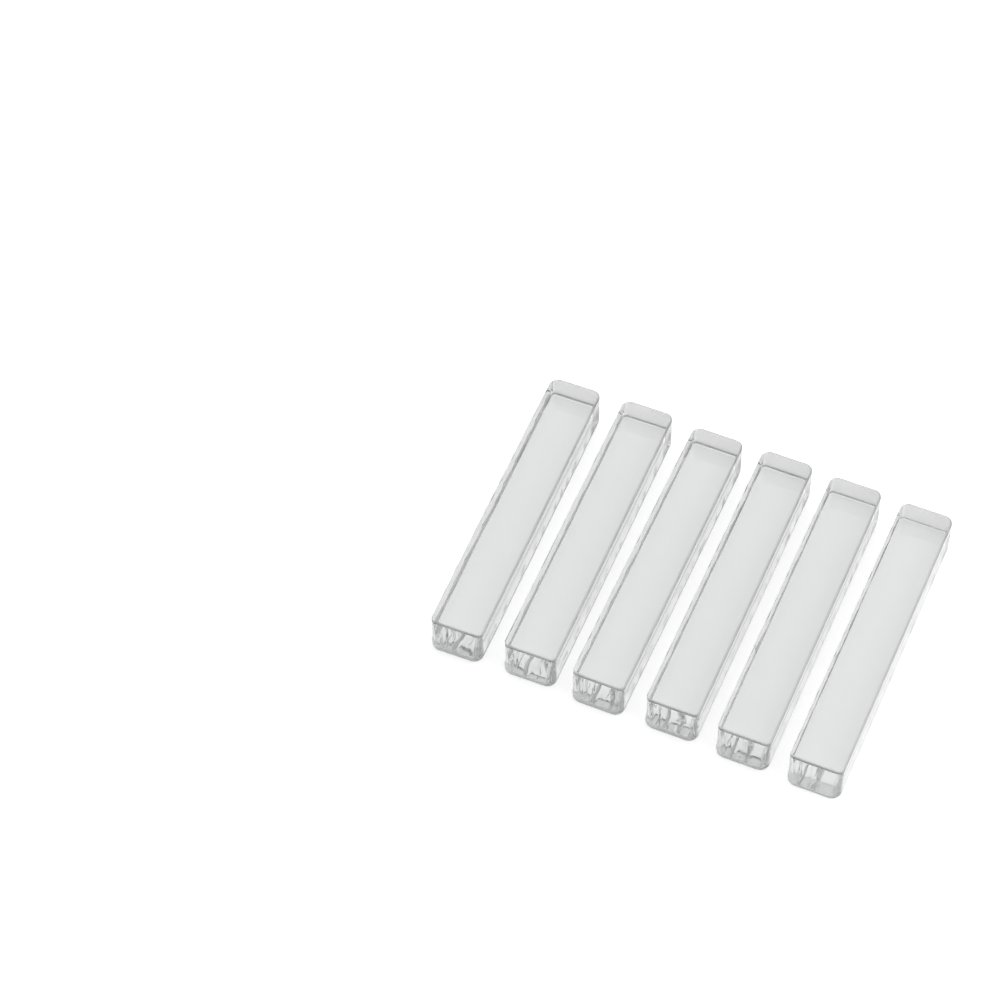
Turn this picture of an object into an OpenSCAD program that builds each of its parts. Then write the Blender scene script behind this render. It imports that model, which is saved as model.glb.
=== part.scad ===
// Set of six glass knife rests, laid side by side in a loose row.
// Each rest is one solid bar of clear glass with a flat top and softened edges.
// +Z is up, and the rests stand on Z = 0. +X runs across the row and +Y along
// the rests. The origin is under the middle of the row.

/* [Rest] */
// Length of each rest
rest_length = 90; // [60:0.5:120]
// Width of each rest
rest_width = 15; // [11:0.5:20]
// Height of each rest
rest_height = 13; // [8:0.5:20]

/* [Edges] */
// Radius of the four upright edges of a rest
upright_radius = 3; // [1.8:0.1:5]
// Radius of the edge that runs round the top face
top_radius = 0.8; // [0.3:0.1:1.5]
// Radius of the edge that runs round the base
base_radius = 0.6; // [0.3:0.1:1.5]

/* [Row] */
// Gap between neighbouring rests that lie straight
row_gap = 5.5; // [3:0.1:20]

/* [Hidden] */
NODES = [
    "knife_rest_1", "knife_rest_2", "knife_rest_3",
    "knife_rest_4", "knife_rest_5", "knife_rest_6"
];
$fn = 96;

glass_color = [0.88, 0.92, 0.91, 0.55];

// The rests were put down by hand, so each lies a little off an even row.
// Every list here goes from the left of the row to the right.
// Turn of each rest about its own centre, in degrees
turns = [0.8, 0.4, -0.45, -0.2, -0.15, -0.4];
// Slip of each rest across the row, as shares of the gap
across_shares = [-0.05, 0.04, 0.035, 0.035, -0.015, -0.045];
// Slip of each rest along its length, as shares of that length
along_shares = [0.0145, 0.0195, 0.005, 0.004, -0.009, -0.018];

row = [0 : len(NODES) - 1];
pitch = rest_width + row_gap;
straight_length = rest_length - 2 * upright_radius;
straight_width = rest_width - 2 * upright_radius;

// Places of the rests, measured from the first one's even place
loose_x = [for (i = row) i * pitch + across_shares[i] * row_gap];
loose_y = [for (i = row) along_shares[i] * rest_length];

// How far a turned rest reaches from its centre, along X and along Y
function reach_x(turn) =
    upright_radius + cos(turn) * straight_width / 2 + abs(sin(turn)) * straight_length / 2;
function reach_y(turn) =
    upright_radius + cos(turn) * straight_length / 2 + abs(sin(turn)) * straight_width / 2;

// Middle of the space that the whole row takes up
middle_x = (min([for (i = row) loose_x[i] - reach_x(turns[i])])
    + max([for (i = row) loose_x[i] + reach_x(turns[i])])) / 2;
middle_y = (min([for (i = row) loose_y[i] - reach_y(turns[i])])
    + max([for (i = row) loose_y[i] + reach_y(turns[i])])) / 2;

// One corner of a bar's section. The corner's point is at the origin and the
// glass lies towards +X and towards up (1) or down (-1).
module section_corner(radius, side) {
    translate([radius, side * radius]) circle(r = radius);
}

// Section across a bar of the given width, standing on Y = 0 and centred on X
module bar_section(width) {
    translate([-width / 2, base_radius])
        square([width, rest_height - top_radius - base_radius]);
    translate([base_radius - width / 2, 0])
        square([width - 2 * base_radius, rest_height - top_radius]);
    translate([top_radius - width / 2, rest_height / 2])
        square([width - 2 * top_radius, rest_height / 2]);
    for (turned = [0, 1]) mirror([turned, 0]) {
        translate([-width / 2, 0]) section_corner(base_radius, 1);
        translate([-width / 2, rest_height]) section_corner(top_radius, -1);
    }
}

// Upright corner of a bar, with the same edges at its top and base
module upright_corner() {
    rotate_extrude() intersection() {
        bar_section(2 * upright_radius);
        square([upright_radius, rest_height]);
    }
}

// One solid bar, centred on the Z axis and standing on Z = 0
module bar() {
    rotate([90, 0, 0])
        linear_extrude(straight_length, center = true) bar_section(rest_width);
    rotate([90, 0, 90])
        linear_extrude(straight_width, center = true) bar_section(rest_length);
    for (x = [-1, 1], y = [-1, 1])
        translate([x * straight_width / 2, y * straight_length / 2, 0]) upright_corner();
}

// The rest at one place in the row, counted from 0 at the left
module knife_rest(place) {
    color(glass_color)
        translate([loose_x[place] - middle_x, loose_y[place] - middle_y, 0])
            rotate(turns[place]) bar();
}

knife_rest(0);  // knife_rest_1
knife_rest(1);  // knife_rest_2
knife_rest(2);  // knife_rest_3
knife_rest(3);  // knife_rest_4
knife_rest(4);  // knife_rest_5
knife_rest(5);  // knife_rest_6
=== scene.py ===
import math

import bmesh
import bpy
from mathutils import Matrix, Quaternion, Vector, noise


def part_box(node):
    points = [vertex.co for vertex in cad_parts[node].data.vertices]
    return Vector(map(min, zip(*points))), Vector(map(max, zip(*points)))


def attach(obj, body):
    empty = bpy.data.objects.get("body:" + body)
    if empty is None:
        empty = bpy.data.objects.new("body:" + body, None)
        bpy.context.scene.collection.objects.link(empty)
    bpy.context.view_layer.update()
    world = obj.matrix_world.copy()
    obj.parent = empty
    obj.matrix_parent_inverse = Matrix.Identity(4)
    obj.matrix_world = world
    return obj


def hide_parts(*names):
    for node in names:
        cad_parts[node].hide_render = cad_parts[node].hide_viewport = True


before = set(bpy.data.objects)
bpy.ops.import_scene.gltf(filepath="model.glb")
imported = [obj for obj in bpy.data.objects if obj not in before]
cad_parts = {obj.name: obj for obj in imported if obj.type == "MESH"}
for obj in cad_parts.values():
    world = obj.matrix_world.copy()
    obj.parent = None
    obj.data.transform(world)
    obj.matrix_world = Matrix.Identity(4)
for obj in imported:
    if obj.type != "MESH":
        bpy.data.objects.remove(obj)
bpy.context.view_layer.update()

# Six clear glass knife rests in a loose row on a white studio floor.
# Lengths are in metres and angles in degrees. +X runs across the row, +Y along
# the rests and +Z up. The camera stands in front of the row, a little to its right.

MM = 0.001

# Rests. Their length and width are a hair under those of the solids, because the
# tight upright edges of a turned rest would reach outside its solid's box.
REST_LENGTH = 89.98 * MM
REST_WIDTH = 14.97 * MM
REST_HEIGHT = 13 * MM
# Radius of the edge round the top: at the ends, and along the left and the right side
TOP_RADIUS = 0.8 * MM
LEFT_TOP_RADIUS = 0.4 * MM
RIGHT_TOP_RADIUS = 0.7 * MM
# Radius of the upright edges, at the base and at the top: the near ends are tight
# at the top and the far ends at the base
NEAR_RADII = (3.0 * MM, 1.5 * MM)
FAR_RADII = (1.5 * MM, 2.5 * MM)

# The edge round the base is an oval curve: how far in it reaches, and how far up
BASE_DEPTH = 0.42 * MM
BASE_RISE = 2.8 * MM
# How unevenly that edge was finished, and the size of its uneven stretches
BASE_UNEVEN = 0.2
BASE_STRETCH = 14 * MM

# How each rest lies and how it was finished by hand: turn in degrees, size of the
# edge round its base, waviness of its top and base, and the seed of all its waves
RESTS = {
    "knife_rest_1": {"body": "rest_1", "turn": 0.8, "edge": 1.3, "wavy": 1.6, "seed": 11},
    "knife_rest_2": {"body": "rest_2", "turn": 0.4, "edge": 1.0, "wavy": 1.2, "seed": 22},
    "knife_rest_3": {"body": "rest_3", "turn": -0.45, "edge": 1.1, "wavy": 0.5, "seed": 33},
    "knife_rest_4": {"body": "rest_4", "turn": -0.2, "edge": 1.0, "wavy": 1.4, "seed": 44},
    "knife_rest_5": {"body": "rest_5", "turn": -0.15, "edge": 0.9, "wavy": 0.4, "seed": 55},
    "knife_rest_6": {"body": "rest_6", "turn": -0.4, "edge": 0.6, "wavy": 1.3, "seed": 66},
}

# Mesh steps across a rounded edge, across the rest of an upright corner, and
# the size of a step on the flat faces
EDGE_STEPS = 10
CORNER_STEPS = 6
FLAT_STEP = 1.0 * MM

# Waviness of the polished faces. Each wave has a depth, its sizes along X, Y and Z,
# and how much of it shows on the left side, the right side, the ends, and the top and
# base. The left side of a rest is its less even one, and every wave on the long sides
# dies away towards the base.
WAVES = (
    (0.100 * MM, (30 * MM, 12 * MM, 40 * MM), (1.0, 0.25, 0.0, 0.0)),
    (0.600 * MM, (30 * MM, 3.6 * MM, 30 * MM), (1.0, 0.0, 0.0, 0.0)),
    (0.120 * MM, (10 * MM, 13 * MM, 30 * MM), (0.0, 0.0, 0.0, 1.0)),
    (0.020 * MM, (4 * MM, 40 * MM, 9 * MM), (0.0, 0.0, 1.0, 0.0)),
)
# Heights between which the waves on the long sides grow to their full depth
WAVE_HEIGHTS = (1.0 * MM, 5.0 * MM)
# How far a rest's seed shifts its waves along X and Y, and a shift along Z for all
SEED_SHIFT = (1.0, 2.7)
HEIGHT_SHIFT = 0.3
# Steps that measure the slope of the waviness
SLOPE_STEP = 0.05 * MM
SLOPE_STEPS = [Vector(axis) * SLOPE_STEP for axis in ((1, 0, 0), (0, 1, 0), (0, 0, 1))]

# Glass
GLASS_COLOR = (0.80, 0.805, 0.80, 1)
# Painted shade: where the edges are worn most, and a little on the ends, the glass colour
# darkens to this one, so they let less light through and show darker lines along them
EDGE_SHADE_COLOR = (0.50, 0.50, 0.51, 1)
GLASS_IOR = 1.54
# Light lost along the glass: the colour that is left over, and the loss per metre
ABSORPTION_COLOR = (0.67, 0.68, 0.68, 1)
ABSORPTION_DENSITY = 5.5
# Roughness where the edges are worn most, and the part of that wear, and of the painted shade
# with it, on the far base edges
EDGE_ROUGHNESS = 0.50
FAR_BASE_WEAR_AND_SHADE = 0.2
# The same wear, with its painted shade, on the faces of the ends, which are less polished than
# the others
END_WEAR_AND_SHADE = 0.07
# Fine unevenness that polishing leaves on every face: how many noise cells it has to
# the metre, its depth, and the roughness where its noise is in the given range
POLISH_SCALE = 180
POLISH_DEPTH = 0.004 * MM
HAZE_RANGE = (0.5, 0.75)
HAZE_ROUGHNESS = 0.012

# Studio
FLOOR_SIZE = 8.0
FLOOR_GAP = 0.05 * MM
FLOOR_COLOR = (0.75, 0.75, 0.75, 1)
FLOOR_GLOW = 0.62

# The studio round the row: a bright ceiling that leans back over it, and dark
# surroundings. The ceiling's middle has an azimuth and an elevation, and fades
# out between two angles from there.
CEILING_LIGHT = (0.90, 0.90, 0.91, 1)
WALL_LIGHT = (0.05, 0.05, 0.052, 1)
CEILING_AZIMUTH = 172
CEILING_ELEVATION = 62
CEILING_ANGLES = (34, 56)
# Softboxes: where each one stands (azimuth 0 is in front of the row and 180 behind
# it), its elevation, width, height and brightness
SOFTBOX_DISTANCE = 1.6
SOFTBOXES = {
    "key": (90, 40, 1.40, 1.40, 1.5),
    "top": (0, 86, 1.20, 1.20, 1.4),
}

# Camera: what it looks at, how far off and from where, its roll, its lens and sensor in
# millimetres, and how far it sees
CAMERA_TARGET = Vector((-57.7, 5.0, 6.5)) * MM
CAMERA_DISTANCE = 982.8 * MM
CAMERA_AZIMUTH = 21.37
CAMERA_ELEVATION = 52.70
CAMERA_ROLL = 1.45
CAMERA_LENS = 129.9
CAMERA_SENSOR = 36
CAMERA_REACH = 50
# How often light may bounce on its way, and how often of that off or through glass
BOUNCES = 40
GLASS_BOUNCES = 32


def mix(a, b, share):
    return a + (b - a) * share


def upright_radius(far, z):
    """Radius of an upright edge at a height, and how fast it grows with the height."""
    base, top = FAR_RADII if far else NEAR_RADII
    return mix(base, top, z / REST_HEIGHT), (top - base) / REST_HEIGHT


def line_count(size):
    """Mesh lines across one side of a rest, and how many steps lie between its corners."""
    straight = round(size / FLAT_STEP)
    return 2 * (EDGE_STEPS + CORNER_STEPS) + straight + 1, straight


def line_place(i, size, depth, corner_radii):
    """Place of the mesh line i across a side, from its middle, for an edge of the given depth
    and the radii of the upright edges at its two ends."""
    count, straight = line_count(size)
    corner = EDGE_STEPS + CORNER_STEPS
    first, last = corner_radii[0] - size / 2, size / 2 - corner_radii[1]
    if corner <= i <= count - 1 - corner:
        return mix(first, last, (i - corner) / straight)
    high = i > corner
    i = count - 1 - i if high else i
    if i < EDGE_STEPS:
        inset = depth * i / EDGE_STEPS
    else:
        inset = mix(depth, corner_radii[high], (i - EDGE_STEPS) / CORNER_STEPS)
    return size / 2 - inset if high else inset - size / 2


def height_share(k, count, rise):
    """Height of the mesh line k above the base, for a base edge of the given rise."""
    if k < EDGE_STEPS:
        return rise * k / EDGE_STEPS
    if k >= count - EDGE_STEPS:
        return REST_HEIGHT - TOP_RADIUS * (count - 1 - k) / EDGE_STEPS
    share = (k - EDGE_STEPS) / (count - 1 - 2 * EDGE_STEPS)
    return mix(rise, REST_HEIGHT - TOP_RADIUS, share)


def rounded(x, y, z, depth, rise):
    """Where a point of the sharp block lies on the rounded block, the normal there, and
    how far it is on an edge, which sets its wear and its painted shade. The base edge has the
    given depth and rise."""
    radius, growth = upright_radius(y > 0, z)
    core = Vector((
        max(-REST_WIDTH / 2 + radius, min(REST_WIDTH / 2 - radius, x)),
        max(-REST_LENGTH / 2 + radius, min(REST_LENGTH / 2 - radius, y)),
        0,
    ))
    reach = Vector((x, y, 0)) - core
    outward = reach.normalized()
    inset = radius - max(abs(reach.x), abs(reach.y))
    side = 1 if z > REST_HEIGHT / 2 else -1
    if side == 1:
        along = RIGHT_TOP_RADIUS if outward.x > 0 else LEFT_TOP_RADIUS
        depth = rise = mix(along, TOP_RADIUS, abs(outward.y))
    centre = REST_HEIGHT - rise if side == 1 else rise
    out = max((depth - inset) / depth, 0)
    up = max((z - centre) * side / rise, 0)
    # How far the point is on an edge: that share makes the glass rough there, and also darkens
    # its colour as painted shade
    worn = 0
    if out > 0 and up > 0:
        arc = math.hypot(out, up)
        out, up = out / arc, up / arc
        worn = 2 * out * up
        if side == -1:
            worn *= mix(1, FAR_BASE_WEAR_AND_SHADE, max(outward.y, 0))
        inset = depth * (1 - out)
        z = centre + side * rise * up
        out, up = out / depth, up / rise
    elif up > 0:
        out, up = 0, 1
    else:
        out, up = 1, 0
        worn = END_WEAR_AND_SHADE * abs(outward.y)
    place = core + outward * (radius - inset) if outward.length else core
    leaning = growth * (abs(outward.x) + abs(outward.y) - 1) if outward.length else 0
    return (
        Vector((place.x, place.y, z)),
        (outward * out + Vector((0, 0, side * up + leaning * out))).normalized(),
        worn,
    )


def hollow(point, normal, seed, wavy):
    """How deep the polished surface lies under the true one at a point. The seed picks the
    rest's waves, and wavy is the share of those on its top and base."""
    shift = Vector((SEED_SHIFT[0] * seed, SEED_SHIFT[1] * seed, HEIGHT_SHIFT))
    low, high = WAVE_HEIGHTS
    growth = max(0, min(1, (point.z - low) / (high - low)))
    growth = growth * growth * (3 - 2 * growth)
    depth = 0
    for wave_depth, wave_size, faces in WAVES:
        stretched = Vector(p / size for p, size in zip(point, wave_size))
        parts = (
            max(-normal.x, 0) * growth, max(normal.x, 0) * growth,
            abs(normal.y), abs(normal.z) * wavy,
        )
        weight = sum(share * part for share, part in zip(faces, parts))
        depth += wave_depth * weight * (0.5 + 0.5 * noise.noise(stretched + shift))
    return depth


def polished(point, normal, seed, wavy):
    """Moves a point of the true surface to the wavy one, and tilts its normal to match."""
    depth = hollow(point, normal, seed, wavy)
    slope = Vector(
        (hollow(point + step, normal, seed, wavy) - depth) / SLOPE_STEP for step in SLOPE_STEPS
    )
    slope -= normal * slope.dot(normal)
    return point - normal * depth, (normal + slope).normalized()


def block_mesh(name, turn, edge, wavy, seed):
    """A closed block with rounded edges, of square faces that are smaller at the edges."""
    turned = Matrix.Rotation(math.radians(turn), 3, "Z")
    height_count = 2 * EDGE_STEPS + round(REST_HEIGHT / FLAT_STEP)
    last = (line_count(REST_WIDTH)[0] - 1, line_count(REST_LENGTH)[0] - 1, height_count - 1)
    bm = bmesh.new()
    points, normals, wear_and_shade_mask = {}, [], []

    def point(i, j, k):
        if (i, j, k) not in points:
            x = REST_WIDTH * (i / last[0] - 0.5)
            y = REST_LENGTH * (j / last[1] - 0.5)
            stretch = Vector((x / BASE_STRETCH, y / BASE_STRETCH, seed))
            size = edge * (1 + BASE_UNEVEN * noise.noise(stretch))
            depth, rise = BASE_DEPTH * size, BASE_RISE * size
            z = height_share(k, height_count, rise)
            reach = mix(depth, TOP_RADIUS, z / REST_HEIGHT)
            near, far = (upright_radius(end, z)[0] for end in (False, True))
            across_radius = far if y > 0 else near
            place, normal, worn = rounded(
                line_place(i, REST_WIDTH, reach, (across_radius, across_radius)),
                line_place(j, REST_LENGTH, reach, (near, far)),
                z, depth, rise,
            )
            place, normal = polished(place, normal, seed, wavy)
            points[i, j, k] = bm.verts.new(turned @ place)
            normals.append(turned @ normal)
            wear_and_shade_mask.append(worn)
        return points[i, j, k]

    # Each pair of sides: the two axes that run along them and the axis across them
    for u, v, across in ((0, 1, 2), (1, 2, 0), (2, 0, 1)):
        for level in (0, last[across]):
            for a in range(last[u]):
                for b in range(last[v]):
                    corners = []
                    for da, db in ((0, 0), (1, 0), (1, 1), (0, 1)):
                        index = [0, 0, 0]
                        index[u], index[v], index[across] = a + da, b + db, level
                        corners.append(point(*index))
                    bm.faces.new(corners if level else corners[::-1])
    mesh = bpy.data.meshes.new(name)
    bm.to_mesh(mesh)
    bm.free()
    for face in mesh.polygons:
        face.use_smooth = True
    mesh.normals_split_custom_set_from_vertices(normals)
    # Each point's share of edge wear, which sets both the roughness and the painted shade of
    # the glass colour
    mesh.attributes.new("edge_wear_and_shade", "FLOAT", "POINT").data.foreach_set("value", wear_and_shade_mask)
    return mesh


def make_rest(name, how, material):
    """One glass bar in the place of the solid with the given name."""
    mesh = block_mesh(name + "_glass", how["turn"], how["edge"], how["wavy"], how["seed"])
    mesh.materials.append(material)
    rest = bpy.data.objects.new(name + "_glass", mesh)
    bpy.context.scene.collection.objects.link(rest)
    low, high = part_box(name)
    rest.location = ((low.x + high.x) / 2, (low.y + high.y) / 2, 0)
    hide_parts(name)
    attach(rest, how["body"])


def glass_material(name, seed):
    """Clear glass, rougher where an edge is worn and darker there with painted shade, and a
    little hazy and uneven all over.
    """
    material = bpy.data.materials.new(name)
    material.use_nodes = True
    nodes, links = material.node_tree.nodes, material.node_tree.links
    shader = nodes["Principled BSDF"]
    shader.inputs["IOR"].default_value = GLASS_IOR
    shader.inputs["Transmission Weight"].default_value = 1.0
    coordinates = nodes.new("ShaderNodeTexCoord")
    polish = nodes.new("ShaderNodeTexNoise")
    polish.noise_dimensions = "4D"
    polish.inputs["Scale"].default_value = POLISH_SCALE
    polish.inputs["W"].default_value = seed
    links.new(coordinates.outputs["Object"], polish.inputs["Vector"])
    haze = nodes.new("ShaderNodeMapRange")
    haze.inputs["From Min"].default_value = HAZE_RANGE[0]
    haze.inputs["From Max"].default_value = HAZE_RANGE[1]
    haze.inputs["To Min"].default_value = 0.0
    haze.inputs["To Max"].default_value = HAZE_ROUGHNESS
    links.new(polish.outputs["Fac"], haze.inputs["Value"])
    wear_and_shade_mask = nodes.new("ShaderNodeAttribute")
    wear_and_shade_mask.attribute_name = "edge_wear_and_shade"
    worn = nodes.new("ShaderNodeMath")
    worn.operation = "MULTIPLY_ADD"
    worn.inputs[1].default_value = EDGE_ROUGHNESS
    links.new(wear_and_shade_mask.outputs["Fac"], worn.inputs[0])
    # Painted shade: the glass colour darkens towards the edge shade colour where the edges and
    # the ends are worn
    tint_and_shade = nodes.new("ShaderNodeMix")
    tint_and_shade.data_type = "RGBA"
    clear, painted_shade = (socket for socket in tint_and_shade.inputs if socket.type == "RGBA")
    clear.default_value = GLASS_COLOR
    painted_shade.default_value = EDGE_SHADE_COLOR
    links.new(wear_and_shade_mask.outputs["Fac"], tint_and_shade.inputs["Factor"])
    tint_and_shade_out = next(socket for socket in tint_and_shade.outputs if socket.type == "RGBA")
    links.new(tint_and_shade_out, shader.inputs["Base Color"])
    links.new(haze.outputs["Result"], worn.inputs[2])
    links.new(worn.outputs[0], shader.inputs["Roughness"])
    uneven = nodes.new("ShaderNodeBump")
    uneven.inputs["Strength"].default_value = 1.0
    uneven.inputs["Distance"].default_value = POLISH_DEPTH
    links.new(polish.outputs["Fac"], uneven.inputs["Height"])
    links.new(uneven.outputs["Normal"], shader.inputs["Normal"])
    absorption = nodes.new("ShaderNodeVolumeAbsorption")
    absorption.inputs["Color"].default_value = ABSORPTION_COLOR
    absorption.inputs["Density"].default_value = ABSORPTION_DENSITY
    links.new(absorption.outputs[0], nodes["Material Output"].inputs["Volume"])
    return material


def make_floor():
    """A pale floor that looks white to the camera and in the glass, and takes a shadow."""
    mesh = bpy.data.meshes.new("studio_floor")
    bm = bmesh.new()
    bmesh.ops.create_grid(bm, x_segments=2, y_segments=2, size=FLOOR_SIZE / 2)
    bm.to_mesh(mesh)
    bm.free()
    floor = bpy.data.objects.new("studio_floor", mesh)
    floor.location.z = -FLOOR_GAP
    bpy.context.scene.collection.objects.link(floor)
    material = bpy.data.materials.new("white_floor")
    material.use_nodes = True
    nodes, links = material.node_tree.nodes, material.node_tree.links
    nodes.remove(nodes["Principled BSDF"])
    diffuse = nodes.new("ShaderNodeBsdfDiffuse")
    diffuse.inputs["Color"].default_value = FLOOR_COLOR
    path = nodes.new("ShaderNodeLightPath")
    seen = nodes.new("ShaderNodeMath")
    seen.operation = "MAXIMUM"
    links.new(path.outputs["Is Camera Ray"], seen.inputs[0])
    links.new(path.outputs["Is Glossy Ray"], seen.inputs[1])
    seen_or_in_glass = nodes.new("ShaderNodeMath")
    seen_or_in_glass.operation = "MAXIMUM"
    links.new(seen.outputs[0], seen_or_in_glass.inputs[0])
    links.new(path.outputs["Is Transmission Ray"], seen_or_in_glass.inputs[1])
    level = nodes.new("ShaderNodeMath")
    level.operation = "MULTIPLY"
    level.inputs[1].default_value = FLOOR_GLOW
    links.new(seen_or_in_glass.outputs[0], level.inputs[0])
    glow = nodes.new("ShaderNodeEmission")
    links.new(level.outputs[0], glow.inputs["Strength"])
    both = nodes.new("ShaderNodeAddShader")
    links.new(diffuse.outputs[0], both.inputs[0])
    links.new(glow.outputs[0], both.inputs[1])
    links.new(both.outputs[0], nodes["Material Output"].inputs["Surface"])
    mesh.materials.append(material)


def towards(azimuth, elevation):
    """A unit vector towards a place. Azimuth 0 is in front of the row and 180 behind it."""
    a, e = math.radians(azimuth), math.radians(elevation)
    return Vector((math.sin(a) * math.cos(e), -math.cos(a) * math.cos(e), math.sin(e)))


def make_camera():
    data = bpy.data.cameras.new("camera")
    data.sensor_width = CAMERA_SENSOR
    data.lens = CAMERA_LENS
    camera = bpy.data.objects.new("camera", data)
    bpy.context.scene.collection.objects.link(camera)
    back = towards(CAMERA_AZIMUTH, CAMERA_ELEVATION)
    camera.location = CAMERA_TARGET + back * CAMERA_DISTANCE
    camera.rotation_mode = "QUATERNION"
    level = (-back).to_track_quat("-Z", "Y")
    camera.rotation_quaternion = level @ Quaternion((0, 0, 1), math.radians(CAMERA_ROLL))
    data.clip_end = CAMERA_REACH
    bpy.context.scene.camera = camera


def softbox(name, azimuth, elevation, width, height, radiance):
    """A square or oblong lamp that looks at the row."""
    data = bpy.data.lights.new(name, "AREA")
    data.shape = "RECTANGLE"
    data.size, data.size_y = width, height
    data.energy = radiance * width * height * math.pi
    lamp = bpy.data.objects.new(name, data)
    bpy.context.scene.collection.objects.link(lamp)
    back = towards(azimuth, elevation)
    lamp.location = back * SOFTBOX_DISTANCE
    lamp.rotation_mode = "QUATERNION"
    lamp.rotation_quaternion = (-back).to_track_quat("-Z", "Y")


def make_light():
    """The bright ceiling with its dark surroundings, and the softboxes."""
    world = bpy.data.worlds.new("studio")
    bpy.context.scene.world = world
    world.use_nodes = True
    nodes, links = world.node_tree.nodes, world.node_tree.links
    background = nodes["Background"]
    coordinates = nodes.new("ShaderNodeTexCoord")
    lean = nodes.new("ShaderNodeVectorMath")
    lean.operation = "DOT_PRODUCT"
    lean.inputs[1].default_value = towards(CEILING_AZIMUTH, CEILING_ELEVATION)
    links.new(coordinates.outputs["Generated"], lean.inputs[0])
    rise = nodes.new("ShaderNodeMapRange")
    rise.interpolation_type = "SMOOTHSTEP"
    rise.inputs["From Min"].default_value = math.cos(math.radians(CEILING_ANGLES[1]))
    rise.inputs["From Max"].default_value = math.cos(math.radians(CEILING_ANGLES[0]))
    links.new(lean.outputs["Value"], rise.inputs["Value"])
    blend = nodes.new("ShaderNodeMix")
    blend.data_type = "RGBA"
    color_a, color_b = (socket for socket in blend.inputs if socket.type == "RGBA")
    color_a.default_value = WALL_LIGHT
    color_b.default_value = CEILING_LIGHT
    links.new(rise.outputs["Result"], blend.inputs["Factor"])
    mixed = next(socket for socket in blend.outputs if socket.type == "RGBA")
    links.new(mixed, background.inputs["Color"])
    background.inputs["Strength"].default_value = 1.0
    for name, setting in SOFTBOXES.items():
        softbox(name, *setting)


for rest_name, rest_how in RESTS.items():
    make_rest(rest_name, rest_how, glass_material(rest_name + "_clear", rest_how["seed"]))
make_floor()
make_light()
make_camera()

scene = bpy.context.scene
scene.view_settings.view_transform = "Standard"
scene.cycles.max_bounces = BOUNCES
scene.cycles.glossy_bounces = GLASS_BOUNCES
scene.cycles.transmission_bounces = GLASS_BOUNCES
